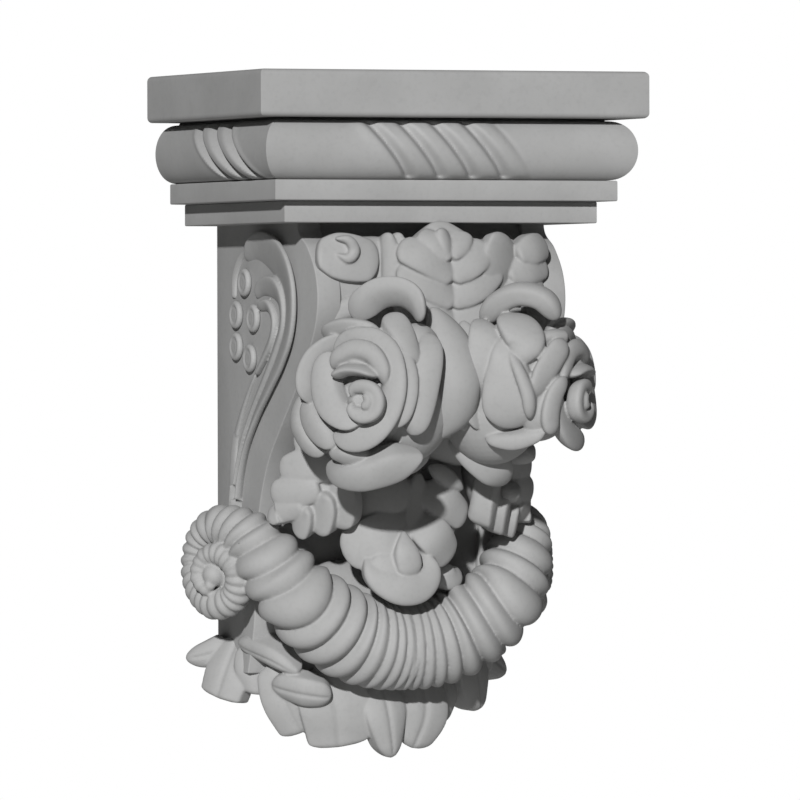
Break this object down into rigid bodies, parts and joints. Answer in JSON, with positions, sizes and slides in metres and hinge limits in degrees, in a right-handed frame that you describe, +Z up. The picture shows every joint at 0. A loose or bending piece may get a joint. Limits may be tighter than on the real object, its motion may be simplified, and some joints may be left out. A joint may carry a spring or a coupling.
{
  "type": "corbel",
  "caption": "Ornamental wall corbel: moulded cap on a scrolled bracket carved with roses, leaves and a ribbed horn of plenty whose ends curl into spirals.",
  "frame": {"origin": "middle of the flat back that lies on the wall, on the centre line and at half the height", "axes": "+Y into the wall, -Y out towards the viewer, +Z up, +X to the viewer's right"},
  "size_m": [0.2072, 0.1926, 0.3427],
  "materials": {
    "cast_grey": "matt light grey casting, very fine even grain, no paint or gloss"
  },
  "bodies": {
    "root": {"corbel": "cast_grey"}
  },
  "joints": []
}
